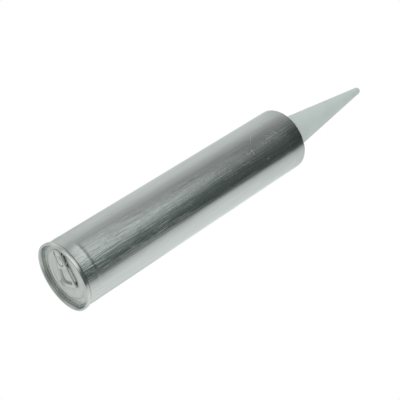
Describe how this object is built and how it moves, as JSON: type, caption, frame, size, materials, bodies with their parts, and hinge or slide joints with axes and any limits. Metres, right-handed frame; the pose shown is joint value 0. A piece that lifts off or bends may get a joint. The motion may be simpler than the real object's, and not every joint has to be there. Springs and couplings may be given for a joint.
{
  "type": "caulk tube",
  "caption": "Sealant cartridge: sealed aluminium can with a ring-pull rear end and a screw-on conical nozzle, pushed out by a caulking gun.",
  "frame": {"origin": "centre of the ring-pull end, in the plane of the rim that the cartridge stands on", "axes": "+Z along the can's axis, from the ring-pull end to the nozzle's tip; -Y towards the nose of the pull tab"},
  "size_m": [0.0516, 0.0516, 0.3187],
  "materials": {
    "bare_aluminium": "drawn, with fine scratches",
    "lid_metal": "bright rolled sheet",
    "tab_metal": "bright stamped sheet",
    "nozzle_plastic": "natural, slightly translucent"
  },
  "bodies": {
    "can": {"barrel": "bare_aluminium", "end_lid": "lid_metal", "tab_tongue": "tab_metal"},
    "tab": {"pull_tab": "tab_metal"},
    "nozzle_body": {"nozzle": "nozzle_plastic"}
  },
  "joints": [
    {"name": "tab_lift", "type": "hinge", "parent": "can", "child": "tab", "pos_m": [0, -0.0198, 0.0022], "axis": [-1, 0, 0], "range_deg": [0, 80]},
    {"name": "nozzle_off", "type": "slide", "parent": "can", "child": "nozzle_body", "axis": [0, 0, 1], "range_m": [0, 0.03]}
  ]
}
